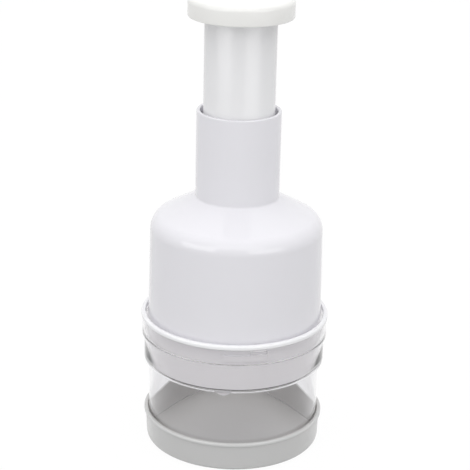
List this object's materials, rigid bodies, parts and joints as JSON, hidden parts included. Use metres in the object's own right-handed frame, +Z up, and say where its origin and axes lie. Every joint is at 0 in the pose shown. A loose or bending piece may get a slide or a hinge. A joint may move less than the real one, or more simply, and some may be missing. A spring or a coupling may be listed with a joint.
{
  "type": "manual food chopper",
  "caption": "Upright manual food chopper: a sprung push knob drives a folded, indexing blade down through a clear chopping container in a base cup.",
  "frame": {"origin": "on the table under the middle of the chopper, level with the feet", "axes": "+Z up along the plunger's axis; -Y is the front, where the picture's camera stands; +X is its right"},
  "size_m": [0.1002, 0.1002, 0.2436],
  "materials": {
    "knob_plastic": "warm white moulded plastic, glossy",
    "tube_plastic": "white moulded plastic, satin gloss",
    "bell_plastic": "cool white moulded plastic, polished",
    "base_plastic": "light warm grey moulded plastic, glossy",
    "clear_plastic": "clear, faintly lavender, polished",
    "acetal": "natural white, dull",
    "rubber": "grey soft elastomer",
    "stainless_steel": "bright stainless steel, fine brushed"
  },
  "bodies": {
    "base": {"base_cup": "base_plastic", "foot_front": "rubber", "foot_right": "rubber", "foot_left": "rubber"},
    "container": {"container": "clear_plastic"},
    "housing": {"bell_housing": "bell_plastic", "retainer_ring": "bell_plastic", "guide_plate": "acetal", "guide_screw_1": "stainless_steel", "guide_screw_2": "stainless_steel", "guide_screw_3": "stainless_steel", "indexing_nut": "acetal", "wave_spring": "stainless_steel", "nut_cap": "acetal", "main_spring": "stainless_steel", "neck_bush": "acetal", "stop_bumper": "rubber"},
    "plunger": {"knob_cap": "knob_plastic", "knob_screw": "stainless_steel", "plunger_tube": "tube_plastic", "plunger_core": "acetal", "thrust_washer": "stainless_steel", "stem_cap": "acetal"},
    "blade": {"twist_shaft": "stainless_steel", "blade_holder": "acetal", "holder_screw": "stainless_steel", "chopping_blade": "stainless_steel"},
    "wiper": {"wiper_plate": "bell_plastic"}
  },
  "joints": [
    {"name": "container_lift", "type": "slide", "parent": "base", "child": "container", "axis": [0, 0, 1], "range_m": [0, 0.04]},
    {"name": "housing_twist", "type": "hinge", "parent": "container", "child": "housing", "pos_m": [0, 0, 0.06], "axis": [0, 0, 1], "range_deg": [0, 28]},
    {"name": "plunger_press", "type": "slide", "parent": "housing", "child": "plunger", "axis": [0, 0, -1], "range_m": [0, 0.044], "stiffness_N_per_m": 450, "springref_m": -0.02, "deforming": ["main_spring"]},
    {"name": "blade_index", "type": "hinge", "parent": "plunger", "child": "blade", "pos_m": [0, 0, 0.1], "axis": [0, 0, 1], "range_deg": [0, 30]},
    {"name": "wiper_turn", "type": "hinge", "parent": "housing", "child": "wiper", "pos_m": [0, 0, 0.052], "axis": [0, 0, 1], "range_deg": [0, 30]}
  ],
  "couplings": [
    {"joint": "blade_index", "follows": "plunger_press", "rad_per_m": 11.899},
    {"joint": "wiper_turn", "follows": "plunger_press", "rad_per_m": 11.899}
  ]
}
